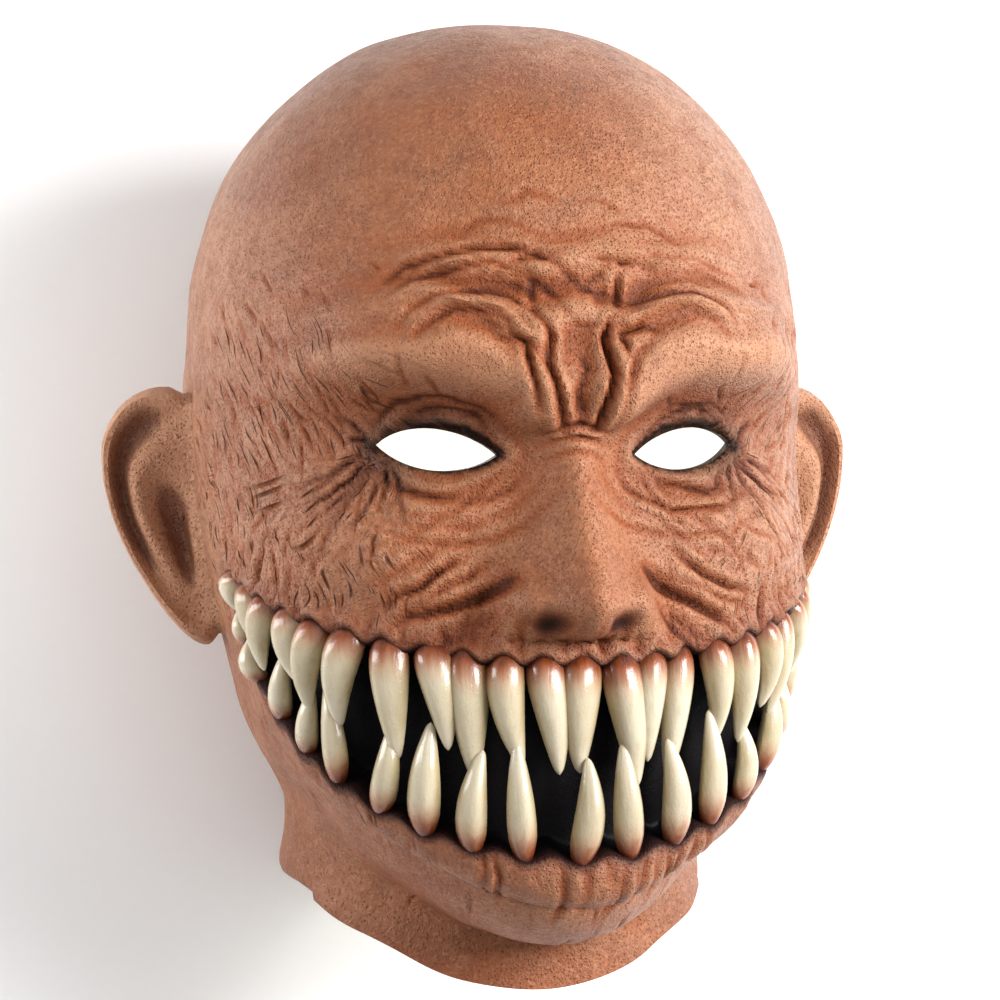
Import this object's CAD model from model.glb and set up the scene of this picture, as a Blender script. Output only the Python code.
"""Looks of a full-head latex horror mask that lies on its back, face up.

The skin repeats the casting's own form, from the same named sizes, and carves the folds, creases and pleats
into it. The fangs are pieces of their own. Paint, pores and fine gouges are procedural.
Sizes are millimetres in the head's frame (x to the wearer's left, y up, z forward) until place() puts them
into the row frame in metres.
"""

import math

import bpy
import numpy as np
from mathutils import Matrix, Vector
from mathutils.bvhtree import BVHTree
from mathutils.kdtree import KDTree


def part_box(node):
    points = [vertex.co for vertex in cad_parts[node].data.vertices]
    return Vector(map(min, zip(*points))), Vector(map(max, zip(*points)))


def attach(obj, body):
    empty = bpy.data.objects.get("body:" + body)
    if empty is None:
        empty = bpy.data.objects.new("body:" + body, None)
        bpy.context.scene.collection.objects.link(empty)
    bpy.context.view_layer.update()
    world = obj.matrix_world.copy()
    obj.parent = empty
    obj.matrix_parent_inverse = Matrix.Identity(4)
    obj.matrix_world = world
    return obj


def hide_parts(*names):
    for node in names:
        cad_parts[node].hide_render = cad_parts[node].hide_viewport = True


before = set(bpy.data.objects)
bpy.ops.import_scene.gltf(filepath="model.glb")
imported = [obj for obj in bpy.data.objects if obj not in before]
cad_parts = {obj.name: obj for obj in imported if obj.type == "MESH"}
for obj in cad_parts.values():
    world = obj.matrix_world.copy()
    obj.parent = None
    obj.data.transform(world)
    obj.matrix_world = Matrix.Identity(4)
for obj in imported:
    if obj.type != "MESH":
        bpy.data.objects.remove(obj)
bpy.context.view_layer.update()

# Sizes shared with the casting
CHIN = -146
HALF_WIDTH = 99.5
EAR_LINE_Z = -8
WALL = 3
BROW_Y = 24
NOSE_BASE_Y = -58
FOREHEAD_Y = 58
EYE = {"x": 39, "y": -1, "half": 17.5, "tall": 6.25}
NOSE = {"top": 12, "tip": -47, "height": 26, "wing": 17.5}
FOLDS = {"count": 2.2, "height": 2, "reach": 42}
MOUTH = {"end": 77, "middle": -94, "rise": 51, "open": 60, "depth": 12, "wall": 3.2}
LYING_TILT = math.radians(12.7)
FLAT_DEPTH = 5
LEAST_ROW_GAP = 12

# Rows from crown to hem: heights at front, side and back, reach forward and back, half width, squareness
STATIONS = [
    ((138, 138, 138), EAR_LINE_Z, EAR_LINE_Z, 0, 1),
    ((131, 131, 131), 33, -51, 38, 1),
    ((114, 114, 114), 64, -83, 65.5, 0.99),
    ((90, 90, 90), 85, -104, 85, 0.97),
    ((FOREHEAD_Y, 60, 58), 98, -116, 96.5, 0.95),
    ("brow", 104, -118, HALF_WIDTH, 0.93),
    ((0, 4, -6), 99, -113, HALF_WIDTH, 0.93),
    ((-30, -18, -32), 98, -102, 98, 0.93),
    ("upper", 103, -91, 95, 0.93),
    ("lower", 101, -86, 92, 0.93),
    ((-133, -92, -88), 95, -79, 80.5, 0.95),
    ((CHIN, -112, -108), 83, -77, 70, 0.97),
    ((-150, -122, -123), 62, -77, 68, 1),
    ((-158, -132, -137), 59, -78, 68.5, 1),
    ((-171, -142, -150), 62, -80, 70.5, 1),
]
UPPER_LIP, LOWER_LIP = 8, 9
LAST = len(STATIONS) - 1
EAR = {"x": 90, "y": -21, "z": -8, "height": 43, "width": 21, "reach": 14, "thick": 5}
EAR_SPLAY, EAR_LEAN = math.radians(19), math.radians(13)
FANGS = {
    "upper": {"count": 23, "length": 0.66, "width": 12.8},
    "lower": {"count": 19, "length": 0.57, "width": 11.4},
}

# Sizes of the finer work
MM_PER_DEGREE = 1.72
SCALLOP = 2.6
FACE_STEP, CHEEK_STEP, BACK_STEP = 0.64, 0.95, 2.4
ROW_COUNTS = [13, 11, 11, 19, 27, 19, 23, 27, 0, 23, 12, 9, 6, 7]
LIP_SHARES = [0, 0.011, 0.022, 0.033, 0.044, 0.056, 0.07, 0.09, 0.12, 0.17, 0.25, 0.37, 0.5]


def smooth(start, end, x):
    """A soft step from 0 at start to 1 at end, where end may be the smaller number."""
    t = np.clip((x - start) / (end - start), 0, 1)
    return t * t * (3 - 2 * t)


def bell(x, width):
    """A bump of height 1 where x is 0."""
    return np.exp(-0.5 * (x / width) ** 2)


def signed_power(x, p):
    """A power that keeps the sign, which squares up a circle's sine and cosine."""
    return np.sign(x) * np.abs(x) ** p


def scatter(i, salt):
    """A chance number from 0 to 1 that is always the same for one piece and one purpose."""
    s = math.sin(i * 12.9898 + salt * 78.233) * 43758.5453
    return s - math.floor(s)


def mix(a, b, t):
    return a + (b - a) * t


def cloud(points, size, seed):
    """Smooth random values from -1 to 1 at points, in lumps of the given size."""
    table = np.random.default_rng(seed).uniform(-1, 1, (32, 32, 32))
    q = points / size
    base = np.floor(q).astype(int)
    t = q - base
    t = t * t * (3 - 2 * t)
    total = 0
    for corner in range(8):
        pick = [(corner >> k) & 1 for k in range(3)]
        weight = 1
        for k in range(3):
            weight = weight * (t[..., k] if pick[k] else 1 - t[..., k])
        total = total + weight * table[tuple((base[..., k] + pick[k]) % 32 for k in range(3))]
    return total


# The head's form
def mouth_middle(azimuth):
    """Height of the line halfway between the lips, which rises towards the ears."""
    return MOUTH["middle"] + MOUTH["rise"] * np.minimum(np.abs(azimuth) / MOUTH["end"], 1) ** 2


def mouth_open(azimuth):
    """Height of the grin's opening, largest in the middle and 0 at its corners."""
    share = np.minimum(np.abs(azimuth) / MOUTH["end"], 1)
    return MOUTH["open"] * np.maximum(np.cos(share * math.pi / 2), 0) ** 0.55


def lip_height(azimuth, which):
    """Height of a lip's row, which keeps a gap to the other one past the corners too."""
    gap = (mouth_open(azimuth) ** 6 + LEAST_ROW_GAP**6) ** (1 / 6) / 2
    return mouth_middle(azimuth) + (gap if which == "upper" else -gap)


def brow_height(azimuth):
    """Height of the brow ridge, which dips at the frown and at the temples."""
    side = HALF_WIDTH * np.abs(np.sin(np.radians(azimuth)))
    return BROW_Y + 4 - 13 * smooth(38, 6, side) - 8 * smooth(58, 95, side)


def row_ring(station, azimuth):
    """One row right round the head."""
    heights, front, back, half, square = STATIONS[station]
    turn = (azimuth + 180) % 360 - 180
    c, s = np.cos(np.radians(turn)), np.sin(np.radians(turn))
    if heights in ("upper", "lower"):
        height = lip_height(turn, heights)
    else:
        ahead, beside, behind = (brow_height(turn), 28, 24) if heights == "brow" else heights
        height = beside + (np.where(c > 0, ahead, behind) - beside) * c * c
    reach = np.where(c > 0, front - EAR_LINE_Z, EAR_LINE_Z - back)
    return np.stack(
        [half * signed_power(s, square), height + 0 * c, EAR_LINE_Z + reach * signed_power(c, square)], -1
    )


def head_form(azimuth, rows):
    """Points of the plain head, one line of them for each row."""
    rings = [row_ring(1, azimuth + 180)] + [row_ring(k, azimuth) for k in range(LAST + 1)]
    rings.append(2 * rings[-1] - rings[-2])
    rings = np.array(rings)
    i = np.clip(np.floor(rows).astype(int), 0, LAST - 1)
    t = rows - i
    weights = [
        -0.5 * t + t * t - 0.5 * t**3,
        1 - 2.5 * t * t + 1.5 * t**3,
        0.5 * t + 2 * t * t - 1.5 * t**3,
        -0.5 * t * t + 0.5 * t**3,
    ]
    return sum(w[:, None, None] * rings[i + k] for k, w in enumerate(weights))


def form_normal(azimuth, rows):
    """Ways out of the plain head, of length 1."""
    safe = np.maximum(rows, 0.1)
    across = head_form(azimuth + 1, safe) - head_form(azimuth - 1, safe)
    down = head_form(azimuth, rows + 0.02) - head_form(azimuth, np.maximum(rows - 0.02, 0))
    normal = np.cross(down, across)
    return normal / np.linalg.norm(normal, axis=-1, keepdims=True)


def nose_height(x, y, slim):
    """How far the nose stands out of the face."""
    along = np.clip((NOSE["top"] - y) / (NOSE["top"] - NOSE["tip"]), 0, 1)
    under = np.clip((NOSE["tip"] + 4 - y) / (NOSE["tip"] + 4 - NOSE_BASE_Y), 0, 1)
    rise = (0.1 + 0.9 * np.sin(along * math.pi / 2) ** 1.7) * smooth(NOSE["top"] + 14, NOSE["top"] - 16, y)
    bridge = NOSE["height"] * rise * bell(x, (6.5 + 6 * along**2) * slim)
    ball = 3 * bell(np.hypot(x, y - NOSE["tip"] - 2), 8)
    wing = 15 * bell(np.abs(x) - NOSE["wing"] * slim, 5.5 * slim) * bell(y - NOSE["tip"] - 1, 7.5)
    return np.sqrt(1 - under**2) * ((bridge + ball) ** 3 + wing**3) ** (1 / 3)


def face_forms(x, y, azimuth):
    """How far the brow, lids, cheeks and the rest stand out of the plain head."""
    side = np.abs(x)
    brow_line = brow_height(azimuth)
    spread = np.where(y > brow_line, 12, 7.5)
    brow = 9.5 * bell(y - brow_line, spread) * smooth(0, 16, side) * smooth(92, 56, side)
    glabella = 5 * bell(side, 11) * bell(y - 20, 13)
    socket = -12 * bell(side - EYE["x"] - 1, 19) * bell(y - EYE["y"] - 1, 11.5)
    lids = 6.5 * bell(side - EYE["x"], 14) * bell(y - EYE["y"] + 1, 7.5)
    bag = 3 * bell(side - EYE["x"] - 1, 15) * bell(y + 19, 5)
    cheek = 7 * bell(side - 60, 17) * bell(y + 32, 13)
    fold = -4.5 * bell(side - 27 - 0.5 * (-44 - y), 5) * smooth(-70, -56, y) * smooth(-30, -42, y)
    chin = 7 * bell(side, 20) * bell(y - CHIN - 8, 11)
    muzzle = 6 * bell(y - mouth_middle(azimuth), 34) * smooth(96, 40, np.abs(azimuth))
    return brow + glabella + socket + lids + bag + cheek + fold + chin + muzzle


def corner_fade(azimuth, inset):
    """1 along the grin and 0 at its corners."""
    return smooth(MOUTH["end"] - inset, MOUTH["end"] - inset - 16, np.abs(azimuth))


def facing_share(azimuth):
    """1 on the face and 0 on the back of the head."""
    return smooth(108, 78, np.abs(azimuth))


# Where the fangs stand along the lips
def fang_azimuths(kind):
    """Azimuths that space a row of fangs evenly along its lip."""
    station = UPPER_LIP if kind == "upper" else LOWER_LIP
    limit = MOUTH["end"] - 3.5
    spots = np.linspace(-limit, limit, 401)
    line = head_form(spots, np.array([float(station)]))[0]
    walk = np.concatenate([[0], np.cumsum(np.linalg.norm(np.diff(line, axis=0), axis=1))])
    count = FANGS[kind]["count"]
    goals = walk[-1] * (np.arange(count) + 0.5) / count
    return spots[np.searchsorted(walk, goals)]


FANG_SPOTS = {kind: fang_azimuths(kind) for kind in FANGS}


def between_fangs(azimuth, kind):
    """0 at a fang's middle and 1 halfway to the next one."""
    spots = FANG_SPOTS[kind]
    place = np.interp(azimuth, spots, np.arange(len(spots)))
    return 0.5 - 0.5 * np.cos(place * 2 * math.pi)


def scallop(azimuth, kind):
    """How far the skin reaches down between the fangs' roots."""
    return SCALLOP * (between_fangs(azimuth, kind) - 0.35) * corner_fade(azimuth, 0)


def inside_mouth(azimuth, y):
    """Millimetres inside the grin's scalloped edge, negative outside it."""
    middle = mouth_middle(azimuth)
    edge = np.where(y > middle, scallop(azimuth, "upper"), scallop(azimuth, "lower"))
    return mouth_open(azimuth) / 2 - np.abs(y - middle) - edge


# From the head's frame to the row frame
def lay_down(points):
    """Tips the head over on to its back, as the mask lies."""
    c, s = math.cos(LYING_TILT), math.sin(LYING_TILT)
    x, y, z = points[..., 0], points[..., 1], points[..., 2]
    return np.stack([x, y * c - z * s, y * s + z * c], -1)


plain = lay_down(head_form(np.arange(-180.0, 180, 2), np.linspace(0, LAST, 300)))
FLOOR_LEVEL = plain[..., 2].min() + FLAT_DEPTH
cad_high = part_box("mask")[1]
CENTRE_Y = plain[..., 1].max() - cad_high.y * 1000


def stand_up(points):
    """From metres of the row frame back to the head's frame."""
    laid = points * 1000 + [0, CENTRE_Y, FLOOR_LEVEL]
    back = np.array([lay_down(axis) for axis in np.eye(3)])
    return laid @ back.T


def place(points, level=FLOOR_LEVEL):
    """Lays points down, presses them flat on the floor, and turns them into metres of the row frame."""
    laid = lay_down(points)
    laid[..., 2] = np.maximum(laid[..., 2], level) - FLOOR_LEVEL
    laid[..., 1] -= CENTRE_Y
    return laid / 1000


# Creases, pleats and fine strokes
class Carving:
    """Grooves on the unrolled skin: s is the way round in millimetres and t the height."""

    def __init__(self, s, t):
        self.s, self.t = s, t
        self.cubes = np.zeros_like(t)
        self.swell = np.zeros_like(t)

    def cut(self, path, width, depth, puff=0.35):
        path = np.asarray(path, float)
        low, high = path.min(0) - 4.5 * width, path.max(0) + 4.5 * width
        c0, c1 = np.searchsorted(self.s, [low[0], high[0]])
        if c1 <= c0:
            return
        near = ((self.t[:, c0:c1] > low[1]) & (self.t[:, c0:c1] < high[1])).any(1).nonzero()[0]
        if not len(near):
            return
        r0, r1 = near[0], near[-1] + 1
        at = np.stack([np.broadcast_to(self.s[c0:c1], (r1 - r0, c1 - c0)), self.t[r0:r1, c0:c1]], -1)
        nearest = np.full(at.shape[:2], 1e9)
        share = np.zeros(at.shape[:2])
        legs = len(path) - 1
        for k in range(legs):
            a, leg = path[k], path[k + 1] - path[k]
            u = np.clip(((at - a) @ leg) / max(leg @ leg, 1e-9), 0, 1)
            gap = np.linalg.norm(at - a - u[..., None] * leg, axis=-1)
            closer = gap < nearest
            nearest = np.where(closer, gap, nearest)
            share = np.where(closer, (k + u) / legs, share)
        taper = np.sin(np.clip(share, 0.03, 0.97) * math.pi) ** 0.6
        self.cubes[r0:r1, c0:c1] += (depth * taper * bell(nearest, width)) ** 3
        self.swell[r0:r1, c0:c1] += puff * depth * taper * bell(nearest - 2.3 * width, 1.1 * width)

    def depth(self):
        return self.cubes ** (1 / 3)

    def total(self):
        return np.minimum(self.swell, 1.6) - self.depth()


def flow_angle(s, t):
    """The way that the skin's fine lines run at places of the unrolled face, as an angle."""
    side = np.abs(s)
    azimuth = side / MM_PER_DEGREE
    slope = 2 * MOUTH["rise"] * azimuth / MOUTH["end"] ** 2 / MM_PER_DEGREE
    lip_gap = np.abs(t - mouth_middle(azimuth)) - mouth_open(azimuth) / 2
    brow = brow_height(azimuth)
    brow_slope = (brow_height(azimuth + 1) - brow_height(azimuth - 1)) / (2 * MM_PER_DEGREE)
    corner = np.hypot(side - 54, t + 2)
    eye = np.hypot(side - 38, t + 1)
    ones = np.ones_like(side)
    lines = [
        (ones, -slope, 0.25 + 1.2 * bell(lip_gap, 24)),
        (t + 2, side - 54, 2.4 * bell(corner - 20, 17) * smooth(44, 56, side) * smooth(4, -12, t)),
        (side - 38, -(t + 1), 2.6 * bell(eye - 21, 7) * smooth(-2, -8, t) * smooth(64, 52, side)),
        (brow_slope, ones, 2.2 * smooth(brow + 2, brow + 12, t) * smooth(84, 56, side)),
        (ones, 0.7 * ones, 3.0 * smooth(50, 66, side) * smooth(-30, -4, t)),
        (ones, 0.1 * ones, 1.6 * smooth(26, 14, side) * smooth(-62, -50, t) * smooth(20, 6, t)),
        (-0.62 * ones, 0.78 * ones, 1.8 * bell((side - 24) * 0.62 + (t + 44) * 0.78, 8) * bell(t + 52, 14)),
    ]
    cos2, sin2 = 0, 0
    for up, out, weight in lines:
        angle = 2 * np.arctan2(up, out)
        cos2, sin2 = cos2 + weight * np.cos(angle), sin2 + weight * np.sin(angle)
    angle = 0.5 * np.arctan2(sin2, cos2)
    return np.where(s < 0, math.pi - angle, angle)


def stroke_density(s, t):
    """How thick the fine strokes stand, from 0 to 1."""
    side = np.abs(s)
    azimuth = side / MM_PER_DEGREE
    lip_gap = np.abs(t - mouth_middle(azimuth)) - mouth_open(azimuth) / 2
    cheeks = bell(t + 25, 32) * smooth(22, 40, side) * smooth(165, 125, side)
    temples = 0.8 * bell(t - 6, 24) * smooth(60, 76, side) * smooth(150, 120, side)
    below = np.where(t < mouth_middle(azimuth), 0.35, 1)
    lips = 0.95 * bell(lip_gap - 8, 13) * smooth(150, 120, side) * below
    forehead = 0.14 * bell(t - 40, 14) * smooth(90, 60, side)
    on_nose = smooth(27, 20, side) * smooth(-66, -58, t) * smooth(22, 14, t)
    chin = 0.22 * smooth(-118, -130, t) * smooth(-150, -144, t) * smooth(70, 40, side)
    density = np.maximum.reduce([cheeks, temples, lips, forehead, chin]) * (1 - on_nose)
    in_eye = (np.abs(side - 38) < 23) & (np.abs(t + 1) < 11)
    return np.where((lip_gap < 1.5) | in_eye, 0, density)


def fine_strokes(carving):
    """Short tapering grooves that follow the skin's lines, thickest on the cheeks and round the lips."""
    rng = np.random.default_rng(41)
    tries, reach_round, lowest, highest = 2400, 172, -160, 92
    s = rng.uniform(-reach_round, reach_round, tries)
    t = rng.uniform(lowest, highest, tries)
    keep = rng.random(tries) < stroke_density(s, t)
    s, t = s[keep], t[keep]
    sway = rng.normal(0, 0.3, len(s))
    length = rng.uniform(5, 17, len(s)) * (0.55 + 0.45 * stroke_density(s, t))
    legs = 5
    half_paths = []
    for way in (1, -1):
        p = np.stack([s, t], -1)
        heading = flow_angle(s, t) + (0 if way > 0 else math.pi)
        path = [p]
        for _ in range(legs):
            angle = flow_angle(p[:, 0], p[:, 1])
            angle = np.where(np.cos(angle - heading) < 0, angle + math.pi, angle)
            heading = angle
            step = (length / (2 * legs))[:, None]
            p = p + step * np.stack([np.cos(angle + sway), np.sin(angle + sway)], -1)
            path.append(p)
        half_paths.append(np.array(path))
    paths = np.concatenate([half_paths[1][:0:-1], half_paths[0]]).transpose(1, 0, 2)
    for path in paths:
        middle = path[legs]
        azimuth = middle[0] / MM_PER_DEGREE
        if abs(middle[1] - mouth_middle(azimuth)) < mouth_open(azimuth) / 2 + 1:
            continue
        carving.cut(path, rng.uniform(0.5, 0.8), rng.uniform(0.3, 1.05), 0.3)


def arc(centre, radius, start, end, stretch=1.0, turn=0.0, steps=9):
    """Points of an arc in degrees about a centre on the unrolled face."""
    angles = np.radians(np.linspace(start, end, steps))
    x, y = radius * np.cos(angles) * stretch, radius * np.sin(angles)
    c, s = math.cos(math.radians(turn)), math.sin(math.radians(turn))
    return np.stack([centre[0] + x * c - y * s, centre[1] + x * s + y * c], -1)


def both_sides(carvings, path, width, depth, rng, puff=0.35):
    """The same crease on both halves of the face, each with small chances of its own."""
    path = np.asarray(path, float)
    for side in (1, -1):
        share = np.linspace(0.15, 1, len(path))[:, None]
        drift = rng.normal(0, 2.0, 2) * share
        sway = 1.3 * np.sin(share * 5 + rng.uniform(0, 6)) * rng.normal(0, 1, 2)
        placed = (path + (drift + sway) + rng.normal(0, 0.45, (len(path), 2))) * [side, 1]
        wide, deep = width * rng.uniform(0.85, 1.15), depth * rng.uniform(0.55, 1.3)
        for carving in carvings:
            carving.cut(placed, wide, deep, puff)


def crows_feet(carvings, rng):
    """Lines that fan out from the outer corner of each eye and bend down the cheek."""
    corner = np.array([EYE["x"] + EYE["half"] - 1, EYE["y"] - 0.5])
    for k, angle in enumerate(np.linspace(-118, 24, 16)):
        start = 0.8 + 2.4 * scatter(k, 3)
        reach = mix(17, 38, scatter(k, 4)) * (1 if angle > -80 else 0.75) * (1 if angle < 0 else 0.6)
        bend = -24 * smooth(-70, 10, angle) if angle < 12 else 10
        r = np.linspace(start, reach, 8)
        turn = np.radians(angle + bend * (r - start) / reach)
        path = corner + np.stack([r * np.cos(turn), r * np.sin(turn)], -1)
        both_sides(carvings, path, mix(0.62, 0.85, scatter(k, 6)), mix(0.9, 1.6, scatter(k, 5)), rng)


def pleats(carving, rng):
    """Short upright folds above and below the grin, between the fangs' roots."""
    for kind, way in (("upper", 1), ("lower", -1)):
        spots = FANG_SPOTS[kind]
        thirds = [spots[:-1] + (spots[1:] - spots[:-1]) * share for share in (0.5, 0.2, 0.82)]
        for layer, edges in enumerate(thirds):
            for i, azimuth in enumerate(edges):
                if abs(azimuth) > MOUTH["end"] - 7 or (way < 0 and scatter(i, 31 + layer) < 0.75):
                    continue
                edge = mouth_middle(azimuth) + way * mouth_open(azimuth) / 2
                slope = 2 * MOUTH["rise"] * azimuth / MOUTH["end"] ** 2 / MM_PER_DEGREE
                start = -0.4 if layer == 0 else 2.2
                reach = mix(5, 17, scatter(i, 21 + layer) ** 1.6) * (0.8 if way < 0 else 1)
                q = np.linspace(start, reach, 6)
                path = np.stack([azimuth * MM_PER_DEGREE - slope * way * q * 0.8, edge + way * q], -1)
                path[:, 0] += rng.normal(0, 0.5, 6) + rng.normal(0, 0.16) * (q - start)
                depth = mix(0.5, 1.7, scatter(i, 22 + layer)) * (1 if layer == 0 else 0.55)
                depth = depth * (1 if way > 0 else 0.6)
                carving.cut(path, 1.0 if layer == 0 else 0.75, depth, 0.5)


def named_creases(carving, ink):
    rng = np.random.default_rng(7)
    crows_feet([carving, ink], rng)
    # bags under the eyes
    for radius, depth in ((12.5, 1.3), (16.5, 0.8), (20.5, 1.4), (25, 0.8), (30, 0.7)):
        both_sides([carving], arc((38, 1), radius, 200, 335, 1.3), 0.95, depth, rng)
    # creases that run from the inner corner of the eye down beside the nose
    for k in range(5):
        q = np.arange(6)
        path = np.stack([19 + 2.6 * k + 2.4 * q * (1 + 0.3 * k), -7 - 2.3 * k - 3.9 * q + 0.12 * q * q], -1)
        both_sides([carving], path, 0.85, 1.0, rng)
    # the upper lid's folds
    both_sides([carving], arc((38, -3), 13.5, 18, 160, 1.5), 1.0, 1.6, rng)
    both_sides([carving], arc((39, -4), 18, 30, 140, 1.35), 0.8, 0.8, rng)
    # the fold from the nose's wing to the grin, and the smile lines beside it
    for k, (gap, depth) in enumerate(((0, 2.8), (6, 1.2), (12, 1.5), (19, 1.0), (27, 0.9), (35, 0.7))):
        q = np.arange(7 - (k > 2))
        path = np.stack([20 + 0.72 * gap + 5.3 * q, -38 + 0.62 * gap - 4.0 * q + 0.12 * q * q], -1)
        both_sides([carving], path, 1.35 if k == 0 else 0.9, depth, rng, 0.5)
    # frown furrows beside the bridge of the nose
    both_sides([carving], [(4.2, 6), (4.8, 13), (6.4, 21), (6.2, 30), (8.5, 38)], 0.95, 2.9, rng, 0.9)
    both_sides([carving], [(9.5, 13), (11.8, 20), (12.6, 28), (16.5, 36)], 0.9, 2.2, rng, 0.8)
    both_sides([carving], [(9.2, 34), (11.5, 42), (11, 50), (14, 57)], 0.8, 1.3, rng, 0.8)
    carving.cut([(0.6, 9), (-0.8, 16), (1.2, 23), (0.4, 28)], 0.9, 1.3)
    # lines across the bridge of the nose
    for y, depth in ((7, 1.2), (2.5, 1.0), (-2, 0.7)):
        carving.cut([(-9, y - 3), (-4, y), (0, y + 0.9), (4, y), (9, y - 3)], 0.85, depth)
    # folds that swirl over each brow and turn down towards the bridge
    for k, (radius, depth) in enumerate(((9, 1.0), (14.5, 1.8), (20.5, 0.9), (26, 1.3))):
        path = arc((31 + 0.5 * k, BROW_Y + 9), radius, 12 + 15 * k, 204 - 12 * k, 1.4, -9)
        both_sides([carving], path, 0.9, depth, rng, 0.8)
    both_sides([carving], arc((20, BROW_Y + 3), 7, 60, 185, 1.2, 20), 0.85, 1.7, rng, 0.8)
    # broken lines higher up the forehead
    for k, lift in enumerate((31, 36, 43, 50)):
        start, reach = (3, 24, 9, 2)[k], (24, 56, 38, 19)[k]
        stations = np.linspace(start, reach, 8)
        rise = 2.2 * np.sin(stations / 7 + 2.1 * k)
        path = np.stack([stations, BROW_Y + lift + rise - 0.004 * stations**2], -1)
        both_sides([carving], path, 0.9, (1.3, 1.0, 0.9, 0.6)[k], rng, 0.8)
    pleats(carving, rng)
    # a few short upright creases on the chin
    for k in range(7):
        start = mix(-30, 30, k / 6) + rng.normal(0, 3)
        low = -126 - 14 * scatter(k, 51)
        foot = start * 0.88 + rng.normal(0, 2)
        carving.cut([(start, low + 14), (start * 0.94 + 1, low + 6), (foot, low)], 0.9, 1.1)


# The eye holes
def eye_outline(steps=28):
    """The almond of one hole about its own middle, inner corner first, with the nose on the minus side."""
    t = np.linspace(0, 1, steps)
    b = [(1 - t) ** 3, 3 * (1 - t) ** 2 * t, 3 * (1 - t) * t**2, t**3]
    half, tall = EYE["half"], EYE["tall"]
    xs = [-half, -half / 2, half / 2, half]
    top = [-1.5, tall * 1.1, tall * 1.6, 1.5]
    low = [-1.5, -tall * 1.35, -tall * 1.35, 1.5]
    x = sum(w * v for w, v in zip(b, xs))
    upper = np.stack([x, sum(w * v for w, v in zip(b, top))], -1)
    lower = np.stack([x, sum(w * v for w, v in zip(b, low))], -1)
    return np.concatenate([upper, lower[-2:0:-1]])


def eye_gap(x, y):
    """Distance outside the nearer eye hole's edge, negative within it."""
    outline = eye_outline()
    p = np.stack([np.abs(x) - EYE["x"], y - EYE["y"]], -1)
    gap = np.full(x.shape, 60.0)
    near = (np.abs(p[..., 0]) < 60) & (np.abs(p[..., 1]) < 50)
    q = p[near]
    best = np.full(len(q), 1e9)
    inside = np.zeros(len(q), bool)
    for a, b in zip(outline, np.roll(outline, -1, 0)):
        leg = b - a
        u = np.clip(((q - a) @ leg) / (leg @ leg), 0, 1)
        best = np.minimum(best, np.linalg.norm(q - a - u[:, None] * leg, axis=1))
        rise = leg[1] if abs(leg[1]) > 1e-9 else 1e-9
        spans = (a[1] > q[:, 1]) != (b[1] > q[:, 1])
        inside ^= spans & (q[:, 0] < leg[0] * (q[:, 1] - a[1]) / rise + a[0])
    gap[near] = np.where(inside, -best, best)
    return gap


# The skin
def skin_grid():
    """The skin's grid: how far round each column is, and the row number of each line."""
    half = [np.arange(0, 62, FACE_STEP), np.arange(62, 98, CHEEK_STEP), np.arange(98, 179, BACK_STEP)]
    half = np.concatenate(half)
    azimuth = np.concatenate([-half[:0:-1], half])
    rows = []
    band = LIP_SHARES + [1 - share for share in LIP_SHARES[-2:0:-1]]
    for i, count in enumerate(ROW_COUNTS):
        shares = band if i == UPPER_LIP else np.arange(count) / count
        rows += [i + share for share in shares]
    rows.append(LAST)
    return azimuth, np.array(rows[1:], float)


def blur(field, reach):
    """A box blur over the grid, round the head and up and down it."""
    wrapped = np.concatenate([field[:, -reach:], field, field[:, :reach]], 1)
    sums = np.cumsum(np.pad(wrapped, ((0, 0), (1, 0))), 1)
    field = (sums[:, 2 * reach + 1 :] - sums[:, : -2 * reach - 1]) / (2 * reach + 1)
    edged = np.pad(field, ((reach + 1, reach), (0, 0)), mode="edge")
    sums = np.cumsum(edged, 0)
    return (sums[2 * reach + 1 :] - sums[: -2 * reach - 1]) / (2 * reach + 1)


def forehead_rolls(x, y, azimuth, warp, patches):
    """Broad wavy rolls between the brows and the dome."""
    side = np.abs(x)
    brow_line = brow_height(azimuth)
    share = (y - brow_line) / (FOREHEAD_Y - brow_line) + 0.16 * warp
    wave = np.cos((share * FOLDS["count"] - 0.15) * math.pi * 2)
    height = FOLDS["height"] * (1.2 + 0.7 * patches)
    return height * wave * bell(share - 0.5, 0.36) * bell(side, FOLDS["reach"])


def worn_side(azimuth):
    """The wearer's left half has fainter gouges and lines."""
    return 1 - 0.4 * smooth(0, 30, azimuth)


def eye_smoke(side, y, gap):
    """Black round the eye holes: a sharp rim, a smoky lid and a smudge at the outer corner."""
    outer = np.clip((side - EYE["x"]) / EYE["half"], -1, 1.4)
    above = np.clip((y - EYE["y"]) / EYE["tall"], -1.5, 1.5)
    smoky = np.clip(0.2 + 0.5 * smooth(-0.3, 1.1, outer) + 0.3 * smooth(0, 1.2, above), 0, 1)
    outside = np.maximum(gap, 0)
    corner = np.hypot((side - EYE["x"] - EYE["half"] - 1.5) / 1.2, y - EYE["y"] - 0.5)
    lid = smoky * (0.75 * bell(outside, 3.4) + 0.3 * bell(outside, 9))
    return np.maximum.reduce([smooth(1.6, 0.5, outside), lid, 0.95 * bell(corner, 2.9)])


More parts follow.
